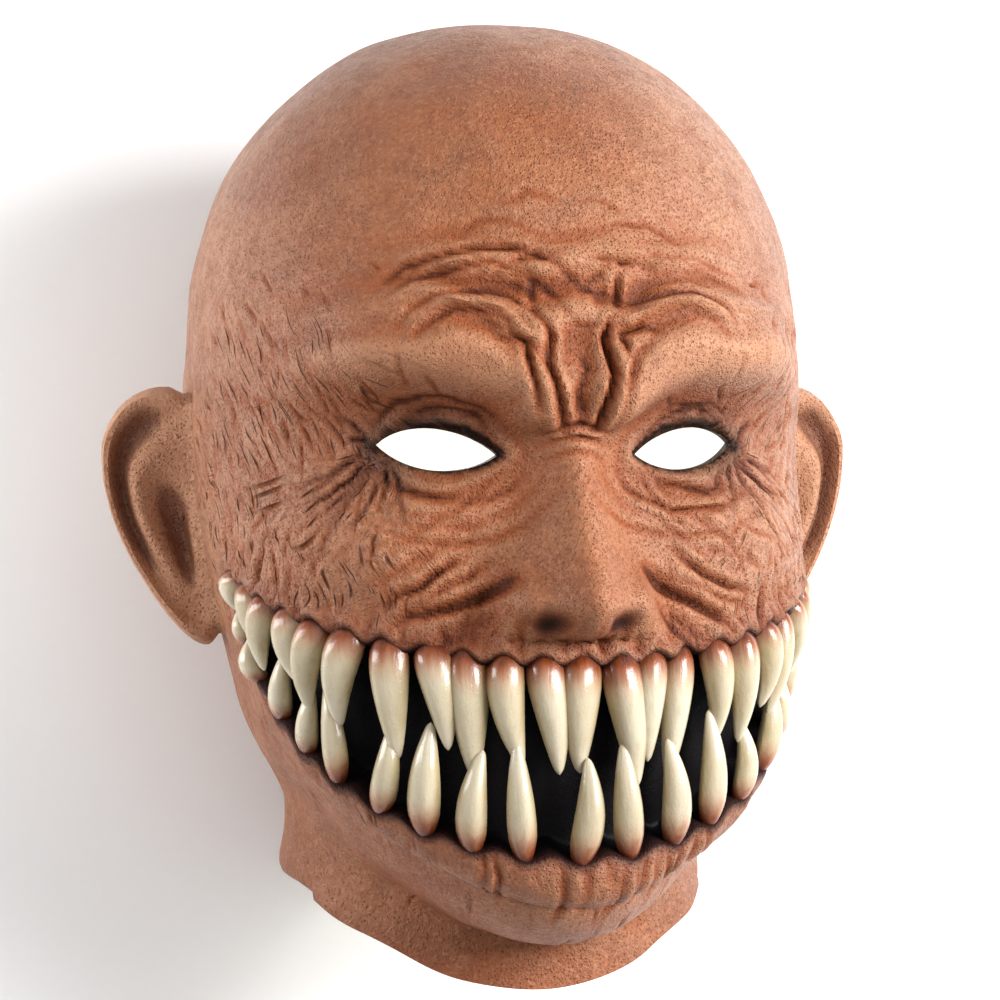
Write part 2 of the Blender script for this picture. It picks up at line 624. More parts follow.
def line_fields(x, y, around):
    """Fields that the paint's strokes follow, and the share of the skin that each of them rules."""
    side = np.abs(x)
    s = around * MM_PER_DEGREE
    middle = mouth_middle(around)
    from_lips = np.sign(y - middle) * (np.abs(y - middle) - mouth_open(around) / 2)
    lean = 0.75 * np.clip(s / 60, -1, 1) * np.maximum(from_lips - 18, 0)
    down, out = y - EYE["y"], side - EYE["x"]
    past_corner = out - EYE["half"] + 4
    corner_reach = np.hypot(down, past_corner) + 1
    eye_reach = np.hypot(down, out / 1.25)
    lifted = y - brow_height(around)

    fan_share = bell(corner_reach - 18, 16) * smooth(-10, 4, out - 6) * smooth(84, 70, np.abs(around))
    fan_share = fan_share * smooth(5, -9, down)
    bag_share = bell(eye_reach - 20, 7) * smooth(1, -8, y) * smooth(58, 46, side) * smooth(8, 16, side)
    brow_share = smooth(2, 10, lifted) * smooth(72, 52, np.abs(around))
    density = stroke_density(s, y)
    on_cheek = smooth(16, 36, np.abs(around)) * smooth(125, 100, np.abs(around)) * worn_side(around)
    gouge_share = smooth(0.14, 0.5, density + 0.6 * fan_share) * on_cheek
    fibre_share = density + 0.5 * fan_share + 0.4 * bag_share + 0.35 * brow_share * smooth(88, 50, y)
    corner_turn = np.arctan2(down, past_corner) * 0.02
    eye_turn = np.arctan2(out / 1.25, -down) * 0.02
    half = np.sign(x) * 0.1
    return {
        "across": np.stack([(s - lean) / 1000, from_lips / 1000, 0 * x], -1),
        "fan": np.stack([corner_turn, np.log(corner_reach) * 0.02, half], -1),
        "bag": np.stack([eye_reach / 1000, eye_turn, half], -1),
        "arch": np.stack([lifted / 1000, s / 1000, 0 * x], -1),
        "fan_share": fan_share,
        "bag_share": bag_share,
        "brow_share": brow_share,
        "gouge_share": gouge_share * (1 - smooth(0.2, 0.6, bag_share)),
        "fibre_share": np.clip(fibre_share, 0.03, 1),
    }


def skin_shape():
    """Places and paint of every point of the skin's grid."""
    azimuth, rows = skin_grid()
    form = head_form(azimuth, rows)
    # the rows beside the grin follow its scalloped edge
    for kind, sign, station in (("upper", -1, UPPER_LIP), ("lower", 1, LOWER_LIP)):
        reach = bell(rows - station, 0.13 if kind == "upper" else 0.16)
        form = form + (sign * reach[:, None] * scallop(azimuth, kind))[..., None] * np.array([0, 1, 0])
    normal = form_normal(azimuth, rows)
    x, y = form[..., 0], form[..., 1]
    side = np.abs(x)
    around = np.broadcast_to(azimuth, x.shape)
    facing = facing_share(around)

    lumps = 0.7 * cloud(form, 17, 3) + 0.45 * cloud(form, 8.5, 4) * smooth(70, 40, y)
    dents = 0.5 * cloud(form, 30, 5)
    warp = cloud(form * np.array([1, 1.3, 1]), 15, 6)
    patches = cloud(form, 22, 7)
    gap = eye_gap(x, y)
    inside = inside_mouth(around, y)
    carving, ink = (Carving(azimuth * MM_PER_DEGREE, y) for _ in range(2))
    named_creases(carving, ink)
    fine_strokes(carving)
    away_from_edges = smooth(0.6, -1.2, inside) * smooth(0.5, 2.2, gap)
    carved = carving.total() * away_from_edges

    lid = 1.7 * bell(gap - 3.0, 1.5) - 1.6 * smooth(2.0, -0.6, gap)
    relief = face_forms(x, y, around) + forehead_rolls(x, y, around, warp, patches) + lid
    nostril_gap = np.hypot((side - 10.5) / 1.35, y - NOSE["tip"] + 6)
    nostril = -7 * bell(nostril_gap, 2.6)
    roll_height = np.where(y > mouth_middle(around), 2.2, 0.7)
    lip_roll = roll_height * bell(inside + 2.2, 2.0) * corner_fade(around, 2)
    trough = -MOUTH["depth"] * smooth(0, MOUTH["wall"], inside) * corner_fade(around, 0)

    points = form.copy()
    points[..., 2] += facing * nose_height(x, y, 1)
    along_normal = facing * relief + carved + (lumps + dents) * away_from_edges + lip_roll + trough
    points += normal * along_normal[..., None]
    points[..., 2] += facing * nostril
    hem = smooth(12.6, 14, rows)[:, None] * 1.8 * cloud(form, 26, 9)
    points[..., 1] += hem

    fine = facing * relief + carved + lumps + facing * 0.7 * nostril
    sharp = (blur(fine, 3) - fine) / 0.8
    broad = (blur(fine, 12) - fine) / 3.4
    grooves = carving.depth() * away_from_edges / 1.6
    hollows = 0.5 * np.clip(sharp, 0, 1) + 0.34 * np.clip(broad, 0, 1) + 0.45 * grooves
    crests = 0.6 * np.clip(-sharp, 0, 1) + 0.5 * np.clip(-broad, 0, 1) - grooves
    mouth_black = smooth(0.2, 1.6, inside) * corner_fade(around, -4)
    paint = {
        "crease": np.clip(hollows, 0, 1),
        "raised": np.clip(crests, 0, 1) * away_from_edges,
        "ink": np.clip(ink.depth() / 1.3, 0, 1) * away_from_edges * worn_side(around),
        "eye_paint": np.clip(eye_smoke(side, y, gap), 0, 1) * facing,
        "lip_line": smooth(-2.0, -0.7, inside) * corner_fade(around, -2),
        "lip_tint": 0.9 * bell(inside + 3, 3.2) * corner_fade(around, -6),
        "mouth_black": np.maximum(mouth_black, 0.9 * facing * bell(nostril_gap, 2.3)),
        "ear_wash": np.zeros_like(x),
        "warmth": smooth(74, 10, np.abs(around + 22)) * smooth(150, 96, y),
        "brown": smooth(-36, -92, y) * (1 - 0.8 * bell(around, 34) * smooth(-152, -146, y)),
    }
    return points, paint | line_fields(x, y, around)


# Meshes
def points_of(mesh):
    """Places of a mesh's points, one a row."""
    co = np.empty(len(mesh.vertices) * 3, np.float32)
    mesh.vertices.foreach_get("co", co)
    return co.reshape(-1, 3)


def set_points(mesh, points):
    mesh.vertices.foreach_set("co", np.ascontiguousarray(points, np.float32).ravel())
    mesh.update()


def set_values(mesh, name, values):
    """Keeps a number or a vector for each point of a mesh, for its material to read."""
    wide = values.ndim == 2
    attribute = mesh.attributes.new(name, "FLOAT_VECTOR" if wide else "FLOAT", "POINT")
    flat = np.ascontiguousarray(values, np.float32).ravel()
    attribute.data.foreach_set("vector" if wide else "value", flat)


def select_only(thing):
    bpy.ops.object.select_all(action="DESELECT")
    bpy.context.view_layer.objects.active = thing
    thing.select_set(True)


def sphere_object(name, segments, rings):
    """A ball whose every vertex has a ring (1 under the top pole) and a segment."""
    bpy.ops.object.select_all(action="DESELECT")
    bpy.ops.mesh.primitive_uv_sphere_add(segments=segments, ring_count=rings, radius=1)
    ball = bpy.context.object
    ball.name = ball.data.name = name
    co = points_of(ball.data).astype(float)
    flat = np.hypot(co[:, 0], co[:, 1])
    ring = np.round(np.arctan2(flat, co[:, 2]) / math.pi * rings).astype(int)
    segment = np.round(np.arctan2(co[:, 1], co[:, 0]) / (2 * math.pi) * segments).astype(int) % segments
    return ball, ring, segment


def shell_object(name, crown, rings, foot):
    """A closed body from rings of points between a top and a bottom point."""
    count, segments = rings.shape[:2]
    ball, ring, segment = sphere_object(name, segments, count + 1)
    points = np.empty((len(ring), 3))
    middle = (ring > 0) & (ring <= count)
    points[middle] = rings[ring[middle] - 1, segment[middle]]
    points[ring == 0] = crown
    points[ring == count + 1] = foot
    set_points(ball.data, points)
    return ball, ring, segment


def recalculate(thing):
    """Turns every face outwards."""
    select_only(thing)
    bpy.ops.object.mode_set(mode="EDIT")
    bpy.ops.mesh.select_all(action="SELECT")
    bpy.ops.mesh.normals_make_consistent(inside=False)
    bpy.ops.object.mode_set(mode="OBJECT")


def combine(thing, other, operation):
    """Joins or cuts a body with another one, which is used up."""
    select_only(thing)
    bpy.ops.object.modifier_add(type="BOOLEAN")
    cut = thing.modifiers[-1]
    cut.operation = operation
    cut.object = other
    cut.solver = "MANIFOLD"
    bpy.ops.object.modifier_apply(modifier=cut.name)
    bpy.data.objects.remove(other)


skin_points, skin_paint = skin_shape()
crown = head_form(np.array([0.0]), np.array([0.0]))[0, 0]
skin = shell_object("mask_skin", place(crown), place(skin_points), place(skin_points[-1].mean(0)))[0]
recalculate(skin)


# The ears
EAR_RINGS, EAR_AROUND = 18, 60


def ear_points():
    """Front and back rings of one ear, in the head's frame, with how dark its hollows are painted."""
    rho = (np.arange(EAR_RINGS, 0, -1) / EAR_RINGS)[:, None]
    phi = (np.arange(EAR_AROUND) / EAR_AROUND * 2 * math.pi)[None, :]
    outward, up = np.cos(phi), np.sin(phi)
    u, v = rho * outward, rho * up
    outer_half = smooth(-0.35, 0.3, outward)
    rim = 3.4 * bell(rho - 0.91, 0.06) * smooth(-0.85, 0.0, outward + 0.35 * up)
    scapha = -3.4 * bell(rho - 0.75, 0.075) * outer_half * smooth(-0.75, -0.1, up)
    ridge = 2.4 * bell(rho - 0.52, 0.11) * smooth(-0.5, 0.35, outward)
    bowl = -6.4 * bell(u - 0.1, 0.17) * bell(v + 0.14, 0.28)
    flap = 2.0 * bell(u + 0.2, 0.08) * bell(v + 0.16, 0.14)
    thin = np.where(rho > 0.999, 0.45, 1)
    front = (EAR["thick"] / 2 + rim + scapha + ridge + bowl + flap) * thin
    back = (-EAR["thick"] / 2 - 3.6 * bell(rho, 0.45) + 0 * up) * thin
    x = EAR["reach"] + u * EAR["width"] * (1 + 0.36 * up)
    y = v * EAR["height"]
    dark = np.maximum(smooth(0.28, 0.5, -bowl / 6.4), 0.9 * smooth(0.3, 0.6, -scapha / 3.4))
    return np.stack([x, y, front], -1), np.stack([x, y, back], -1), dark


def make_ear(side):
    """One ear as a closed body, with how dark each of its points is painted."""
    front, back, dark = ear_points()
    rings = np.concatenate([front[::-1], back])
    shade = np.concatenate([dark[::-1], 0 * dark])
    tip = np.array([EAR["reach"], 0, EAR["thick"] / 2 - 2.4])
    foot = np.array([EAR["reach"], 0, -EAR["thick"] / 2 - 3.6])
    turn = Matrix.Translation((EAR["x"], EAR["y"], EAR["z"]))
    turn = turn @ Matrix.Rotation(EAR_SPLAY, 4, "Y") @ Matrix.Rotation(-EAR_LEAN, 4, "Z")
    turn = np.array(turn)

    def posed(p):
        q = p @ turn[:3, :3].T + turn[:3, 3]
        q = q + 0.35 * cloud(q, 9, 12)[..., None]
        return place(q * [side, 1, 1])

    ear, ring, segment = shell_object("ear", posed(tip), posed(rings), posed(foot))
    recalculate(ear)
    washed = np.zeros(len(ring))
    inner = (ring > 0) & (ring <= len(rings))
    washed[inner] = shade[ring[inner] - 1, segment[inner]]
    washed[ring == 0] = shade[0].mean()
    return ear, washed


skin_co = points_of(skin.data)
ear_sources = []
for side in (1, -1):
    ear, washed = make_ear(side)
    ear_sources.append((points_of(ear.data), washed))
    combine(skin, ear, "UNION")


# The hollow and the eye holes
def hollow_object():
    """The space inside the mask as a closed body that runs out past the hem."""
    azimuth = np.arange(-180, 180, 3.6)
    rows = np.concatenate([np.linspace(0.5, UPPER_LIP, 52), np.linspace(UPPER_LIP, LOWER_LIP, 16)[1:]])
    rows = np.concatenate([rows, np.linspace(LOWER_LIP, LAST, 26)[1:]])
    form = head_form(azimuth, rows)
    normal = form_normal(azimuth, rows)
    x, y = form[..., 0], form[..., 1]
    around = np.broadcast_to(azimuth, x.shape)
    facing = facing_share(around)
    middle = mouth_middle(around)
    inside = mouth_open(around) / 2 - np.abs(y - middle)
    trough = -MOUTH["depth"] * smooth(-WALL - 6, -WALL + 0.5, inside) * corner_fade(around, -3)
    under_folds = -4 * bell(x, 34) * bell(y - BROW_Y - 10, 24)
    soft = facing * (face_forms(x, y, around) + under_folds) + trough
    thickness = WALL + 1.2 * facing
    points = form.copy()
    points[..., 2] += facing * 0.85 * nose_height(x, y, 0.78)
    points += normal * (soft - thickness)[..., None]
    below = points[-1:] - [0, 22, 0]
    rings = place(np.concatenate([points, below]), FLOOR_LEVEL + WALL)
    top = place(crown - np.array([0, WALL, 0]))
    hollow = shell_object("hollow", top, rings, rings[-1].mean(0))[0]
    recalculate(hollow)
    return hollow


# The eye holes are cut from this depth, and this many metres forward
CUT_FROM, CUT_REACH = 50.0, 0.09


def eye_cutter(side):
    """The almond pushed straight through the front of the face."""
    outline = eye_outline(18)
    outline = outline * [side, 1] + [EYE["x"] * side, EYE["y"]]
    bpy.ops.object.select_all(action="DESELECT")
    bpy.ops.mesh.primitive_circle_add(vertices=len(outline), radius=1, fill_type="NGON")
    cutter = bpy.context.object
    set_points(cutter.data, place(np.column_stack([outline, np.full(len(outline), CUT_FROM)])))
    bpy.ops.object.mode_set(mode="EDIT")
    bpy.ops.mesh.select_all(action="SELECT")
    forward = lay_down(np.array([0, 0, CUT_REACH]))
    bpy.ops.mesh.extrude_region_move(TRANSFORM_OT_translate={"value": tuple(forward)})
    bpy.ops.object.mode_set(mode="OBJECT")
    recalculate(cutter)
    return cutter


hollow = hollow_object()
hollow_co = points_of(hollow.data)
hollow_faces = [list(face.vertices) for face in hollow.data.polygons]
hollow_wall = BVHTree.FromPolygons(hollow_co.tolist(), hollow_faces)
combine(skin, hollow, "DIFFERENCE")
for side in (1, -1):
    combine(skin, eye_cutter(side), "DIFFERENCE")


# Paint values on the finished skin
HEAD, LEFT_EAR, RIGHT_EAR = 0, 1, 2
# Where the ears meet the head, how far from there the skin is softened, in metres, and how often
JOINT_X, JOINT_SPAN = 0.095, 0.03
JOINT_REACH, JOINT_ROUNDS = 0.006, 6
# How far outside their outline the eye holes' edges count as rim
RIM_WIDTH = 0.25


def tree_of(points):
    """A search tree for the point nearest to a place."""
    tree = KDTree(len(points))
    for i, p in enumerate(points):
        tree.insert(p, i)
    tree.balance()
    return tree


def nearest_source(co, sources):
    """For each point, which source mesh it comes from and which of its points is nearest."""
    trees = [tree_of(points) for points in sources]
    origin = np.zeros(len(co), int)
    index = np.zeros(len(co), int)
    for i, p in enumerate(co):
        finds = [tree.find(p) for tree in trees]
        k = min(range(len(finds)), key=lambda n: finds[n][2])
        origin[i], index[i] = k, finds[k][1]
    return origin, index


def soften_joints(mesh, origin):
    """Rounds the crease where an ear meets the head, by easing nearby points towards their neighbours."""
    co = points_of(mesh).astype(float)
    edges = np.empty(len(mesh.edges) * 2, np.int32)
    mesh.edges.foreach_get("vertices", edges)
    a, b = edges.reshape(-1, 2).T
    mixed = origin[a] != origin[b]
    seam = tree_of(co[np.unique(np.concatenate([a[mixed], b[mixed]]))])
    weight = np.zeros(len(co))
    beside_ear = np.abs(np.abs(co[:, 0]) - JOINT_X) < JOINT_SPAN
    for i in np.flatnonzero(beside_ear):
        weight[i] = smooth(JOINT_REACH, 0, seam.find(co[i])[2])
    degree = np.bincount(a, minlength=len(co)) + np.bincount(b, minlength=len(co))
    for _ in range(JOINT_ROUNDS):
        pull = np.zeros_like(co)
        np.add.at(pull, a, co[b])
        np.add.at(pull, b, co[a])
        mean = pull / np.maximum(degree, 1)[:, None]
        co += (mean - co) * (0.6 * weight)[:, None]
    set_points(mesh, co)


def ear_values(name, data, ear, co, dark):
    """What the ears' points hold where it differs from the head's."""
    if name == "ear_wash":
        data[ear] = dark
    elif name == "raised":
        data[ear] = 1.0 - dark
    elif name == "across":
        data[ear, 0], data[ear, 1] = co[ear, 2], co[ear, 1]


final_co = points_of(skin.data)
origin, index = nearest_source(final_co, [skin_co, ear_sources[0][0], ear_sources[1][0], hollow_co])
upright = stand_up(final_co)
at_eye_hole = eye_gap(upright[:, 0], upright[:, 1]) < RIM_WIDTH
eye_rim = at_eye_hole & (upright[:, 2] > CUT_FROM)
on_head = np.flatnonzero((origin == HEAD) | eye_rim)
grid_tree = tree_of(place(skin_points).reshape(-1, 3))
grid_index = [grid_tree.find(p)[1] for p in final_co[on_head]]

for name, values in skin_paint.items():
    flat_values = values.reshape(-1, *values.shape[2:])
    data = np.zeros((len(final_co), *values.shape[2:]), np.float32)
    data[on_head] = flat_values[grid_index]
    for k in (LEFT_EAR, RIGHT_EAR):
        on_ear = (origin == k) & ~eye_rim
        ear_values(name, data, on_ear, final_co, ear_sources[k - 1][1][index[on_ear]])
    if name == "eye_paint":
        data[eye_rim] = 1
    set_values(skin.data, name, data)

soften_joints(skin.data, origin)


# The fangs
FANG_RINGS, FANG_SIDES = 28, 28
# How deep a fang's root sits in the lip, down and back
FANG_SUNK, FANG_BACK = 3, 3.6
# How slim and how long a fang is, against the casting's
FANG_FIT = {"upper": (1, 1), "lower": (0.86, 1.06)}
# Which chance number of scatter() rules what
FANG_SALTS = {
    "upper": {"length": 1, "width": 3, "swing": 5, "lean": 8, "tint": 9},
    "lower": {"length": 2, "width": 4, "swing": 6, "lean": 8, "tint": 10},
}
GIRTHS = {
    "upper": (
        [0, 0.02, 0.06, 0.12, 0.2, 0.3, 0.45, 0.6, 0.75, 0.88, 0.96, 1],
        [0, 0.34, 0.66, 0.9, 1, 1, 0.9, 0.76, 0.58, 0.38, 0.22, 0],
    ),
    "lower": (
        [0, 0.02, 0.07, 0.14, 0.24, 0.36, 0.5, 0.64, 0.78, 0.9, 0.97, 1],
        [0, 0.26, 0.52, 0.76, 0.96, 1, 0.95, 0.82, 0.62, 0.4, 0.24, 0],
    ),
}


def eased(x, xs, ys):
    """Interpolation through points with smooth joins instead of kinks."""
    fine = np.linspace(0, 1, 401)
    line = np.interp(fine, xs, ys)
    kernel = np.hanning(25)
    padded = np.pad(line, 12, mode="reflect", reflect_type="odd")
    line = np.convolve(padded, kernel / kernel.sum(), mode="valid")
    return np.maximum(np.interp(x, fine, line), 0) * (x > 0) * (x < 1)


def fang_pattern(kind):
    """One fang of length and width 1, root at the origin, tip down: an oval spindle with a blunt tip."""
    ball, ring, segment = sphere_object("fang", FANG_SIDES, FANG_RINGS)
    share = (1 - np.cos(ring / FANG_RINGS * math.pi)) / 2
    share = mix(ring / FANG_RINGS, share, 0.75)
    girth = eased(share, *GIRTHS[kind])
    phi = segment / FANG_SIDES * 2 * math.pi
    wave = 1 + 0.035 * np.cos(3 * phi + 0.6) + 0.02 * np.cos(5 * phi + 2)
    x = 0.5 * girth * wave * signed_power(np.cos(phi), 1.12)
    z = 0.42 * girth * wave * signed_power(np.sin(phi), 1.2)
    set_points(ball.data, np.stack([x, -share, z], -1))
    set_values(ball.data, "length_share", share)
    set_values(ball.data, "flank", np.abs(np.cos(phi)) ** 2)
    recalculate(ball)
    return ball


def fang_seat(azimuth, kind):
    """Where a fang is rooted, and the ways across, down and out of it."""
    at = np.array([azimuth])
    near, far = (UPPER_LIP, LOWER_LIP) if kind == "upper" else (LOWER_LIP, UPPER_LIP)
    form = head_form(at, np.array([float(near)]))[0, 0]
    other = head_form(at, np.array([float(far)]))[0, 0]
    normal = form_normal(at, np.array([float(near)]))[0, 0]
    down = (other - form) / np.linalg.norm(other - form)
    out = form_normal(at, np.array([UPPER_LIP + 0.5]))[0, 0]
    out = out - down * (out @ down)
    out /= np.linalg.norm(out)
    x, y = form[0], form[1]
    facing = facing_share(azimuth)
    lift = facing * float(face_forms(x, y, azimuth)) + 1.2 * float(corner_fade(azimuth, 2))
    seat = form + normal * lift + np.array([0, 0, facing * float(nose_height(x, y, 1))])
    return seat - down * FANG_SUNK - out * FANG_BACK, np.cross(-down, out), down, out


def fang_row(pattern, kind):
    """All fangs of one lip, each a copy of the pattern with small chances of its own."""
    spec, salt = FANGS[kind], FANG_SALTS[kind]
    slim, stretch = FANG_FIT[kind]
    copies = []
    for i, azimuth in enumerate(FANG_SPOTS[kind]):
        seat, across, down, out = fang_seat(azimuth, kind)
        opening = max(float(mouth_open(azimuth)), 18)
        long = opening * spec["length"] * (0.86 if i % 2 else 1)
        long = (long * mix(0.9, 1.1, scatter(i, salt["length"])) + FANG_SUNK) * stretch
        wide = spec["width"] * mix(0.8, 1, opening / MOUTH["open"])
        wide = wide * mix(0.92, 1.1, scatter(i, salt["width"])) * slim
        swing = math.radians(mix(-11, 11, scatter(i, salt["swing"])))
        mesh = pattern.data.copy()
        co = points_of(mesh).astype(float)
        share = -co[:, 1]
        bow = 2.4 * np.sin(share * math.pi) + 1.2 * share
        lean = mix(-2.6, 2.6, scatter(i, salt["lean"])) * np.sin(share * math.pi / 1.2)
        body = np.stack([co[:, 0] * wide + lean, co[:, 1] * long, co[:, 2] * wide + bow], -1)
        c, s = math.cos(swing), math.sin(swing)
        body = body @ np.array([[c, s, 0], [-s, c, 0], [0, 0, 1]])
        set_points(mesh, place(seat + body[:, :1] * across + body[:, 1:2] * -down + body[:, 2:] * out))
        set_values(mesh, "tint", np.full(len(co), scatter(i, salt["tint"])))
        fang = bpy.data.objects.new(f"fang_{kind}_{i}", mesh)
        bpy.context.scene.collection.objects.link(fang)
        copies.append(fang)
    return copies


rows_of_fangs = []
for kind in ("upper", "lower"):
    pattern = fang_pattern(kind)
    rows_of_fangs += fang_row(pattern, kind)
    bpy.data.objects.remove(pattern)
bpy.ops.object.select_all(action="DESELECT")
for fang in rows_of_fangs:
    fang.select_set(True)
bpy.context.view_layer.objects.active = rows_of_fangs[0]
bpy.ops.object.join()
fangs = bpy.context.object
fangs.name = fangs.data.name = "fangs"


# Materials
COOL_TAN = (0.375, 0.195, 0.126, 1)
WARM_TAN = (0.31, 0.092, 0.030, 1)
NECK_TAN = (0.24, 0.072, 0.024, 1)
PALE_TAN = (0.52, 0.250, 0.132, 1)
BROWN = (0.22, 0.060, 0.020, 1)
STAIN = (0.21, 0.084, 0.043, 1)
DEEP = (0.045, 0.009, 0.004, 1)
RUST = (0.33, 0.082, 0.022, 1)
CUT_BROWN = (0.105, 0.025, 0.009, 1)
INK = (0.035, 0.010, 0.008, 1)
WASH = (0.12, 0.027, 0.009, 1)
EAR_BROWN = (0.13, 0.036, 0.014, 1)
SPECK_BROWN = (0.16, 0.050, 0.022, 1)
EYE_BLACK = (0.014, 0.005, 0.003, 1)
PLUM = (0.11, 0.030, 0.024, 1)
PLUM_BLACK = (0.013, 0.004, 0.005, 1)
MOUTH_BLACK = (0.004, 0.003, 0.004, 1)
CREAM, PALE_CREAM = (0.84, 0.80, 0.735, 1), (0.89, 0.865, 0.82, 1)
AMBER_SPECK = (0.5, 0.36, 0.2, 1)
DARK_IVORY, PALE_IVORY = (0.50, 0.42, 0.285, 1), (0.62, 0.545, 0.405, 1)
CLOUD_IVORY = (0.47, 0.385, 0.225, 1)
STREAK_IVORY = (0.36, 0.27, 0.14, 1)
FLANK_IVORY = (0.34, 0.25, 0.11, 1)
TIP_IVORY = (0.70, 0.63, 0.50, 1)
BURNT_ORANGE = (0.40, 0.10, 0.02, 1)
ROOT_RED = (0.13, 0.024, 0.008, 1)
FLANK_RED = (0.07, 0.012, 0.006, 1)
ROOT_BLACK = (0.02, 0.004, 0.004, 1)
FANG_SPECK = (0.3, 0.2, 0.1, 1)
FLOOR_WHITE, FLOOR_PALE = (0.98, 0.98, 0.98, 1), (0.95, 0.95, 0.95, 1)
LATEX_GLOSS = 0.36


def add(tree, kind, inputs=None, **settings):
    """A node with its inputs linked or set, by name or by number."""
    made = tree.nodes.new(kind)
    for name, value in settings.items():
        setattr(made, name, value)
    for name, value in (inputs or {}).items():
        socket = made.inputs[name]
        if isinstance(value, bpy.types.NodeSocket):
            tree.links.new(value, socket)
        else:
            socket.default_value = value
    return made


def blend_colours(tree, factor, first, second):
    return add(tree, "ShaderNodeMix", {0: factor, 6: first, 7: second}, data_type="RGBA").outputs[2]


def blend_values(tree, factor, first, second):
    return add(tree, "ShaderNodeMix", {0: factor, 2: first, 3: second}, data_type="FLOAT").outputs[0]


def coats(tree, colour, layers):
    """Lays paints over a colour one after the other, each as thick as its mask."""
    for mask, paint in layers:
        colour = blend_colours(tree, mask, colour, paint)
    return colour


def calculate(tree, operation, first, second=0.0, clamp=False):
    inputs = {0: first, 1: second}
    return add(tree, "ShaderNodeMath", inputs, operation=operation, use_clamp=clamp).outputs[0]


def scaled(tree, first, second):
    return calculate(tree, "MULTIPLY", first, second)


def greatest(tree, first, *others):
    for other in others:
        first = calculate(tree, "MAXIMUM", first, other)
    return first


def total(tree, first, *others):
    for other in others:
        first = calculate(tree, "ADD", first, other)
    return first


def remap(tree, value, low, high, out_low=0.0, out_high=1.0):
    limits = {"From Min": low, "From Max": high, "To Min": out_low, "To Max": out_high}
    return add(tree, "ShaderNodeMapRange", {"Value": value, **limits}).outputs[0]


def noise(tree, vector, scale, detail=3.0, rough=0.55):
    settings = {"Vector": vector, "Scale": scale, "Detail": detail, "Roughness": rough}
    return add(tree, "ShaderNodeTexNoise", settings).outputs["Fac"]


def stretched(tree, vector, squash):
    """A field drawn out along its second axis."""
    return add(tree, "ShaderNodeMapping", {"Vector": vector, "Scale": (1.0, squash, 1.0)}).outputs[0]


def own(tree, name, output="Fac"):
    """A value that the piece keeps for each of its points."""
    return add(tree, "ShaderNodeAttribute", attribute_name=name).outputs[output]


def speckle_group():
    """Pores and paint specks: dark where a speck lies, and a height that dips at each pore."""
    tree = bpy.data.node_groups.new("pores_and_specks", "ShaderNodeTree")
    tree.interface.new_socket("Vector", in_out="INPUT", socket_type="NodeSocketVector")
    for name in ("Pores per metre", "Amount"):
        tree.interface.new_socket(name, in_out="INPUT", socket_type="NodeSocketFloat")
    for name in ("Specks", "Height"):
        tree.interface.new_socket(name, in_out="OUTPUT", socket_type="NodeSocketFloat")
    vector, pores, amount = tree.nodes.new("NodeGroupInput").outputs[:3]
    sink = tree.nodes.new("NodeGroupOutput")
    cells = add(tree, "ShaderNodeTexVoronoi", {"Vector": vector, "Scale": pores, "Randomness": 1.0})
    dot = remap(tree, cells.outputs["Distance"], 0.16, 0.36, 1.0, 0.0)
    where = remap(tree, noise(tree, vector, 60.0, 2.0), 0.36, 0.6, 0.15, 1.0)
    specks = calculate(tree, "MULTIPLY", scaled(tree, dot, where), amount, True)
    tree.links.new(specks, sink.inputs["Specks"])
    tree.links.new(scaled(tree, dot, -1.0), sink.inputs["Height"])
    return tree


speckles = speckle_group()


def speckle(tree, vector, pores, amount):
    """The pores and specks at one size, as a mask and a height."""
    made = tree.nodes.new("ShaderNodeGroup")
    made.node_tree = speckles
    tree.links.new(vector, made.inputs["Vector"])
    made.inputs["Pores per metre"].default_value = pores
    made.inputs["Amount"].default_value = amount
    return made.outputs["Specks"], made.outputs["Height"]


def new_material(name):
    """A material, its nodes, its shader and the place on the object."""
    material = bpy.data.materials.new(name)
    material.use_nodes = True
    tree = material.node_tree
    return material, tree, tree.nodes["Principled BSDF"], add(tree, "ShaderNodeTexCoord").outputs["Object"]


def finish(tree, shader, colour, roughness, height, distance, strength):
    """Links what every finish has: a colour, a roughness and a bump."""
    bump = add(tree, "ShaderNodeBump", {"Height": height, "Distance": distance, "Strength": strength})
    tree.links.new(colour, shader.inputs["Base Color"])
    tree.links.new(roughness, shader.inputs["Roughness"])
    tree.links.new(bump.outputs[0], shader.inputs["Normal"])


def strands(tree, scale, squash):
    """Noise drawn out along the skin's lines, which change their way from cheek to eye to brow."""
    value = noise(tree, stretched(tree, own(tree, "across", "Vector"), squash), scale, 2.0, 0.6)
    for field, share in (("arch", "brow_share"), ("bag", "bag_share"), ("fan", "fan_share")):
        along = noise(tree, stretched(tree, own(tree, field, "Vector"), squash), scale, 2.0, 0.6)
        value = blend_values(tree, own(tree, share), value, along)
    return value


def vector_maths(tree, operation, inputs):
    return add(tree, "ShaderNodeVectorMath", inputs, operation=operation).outputs[0]


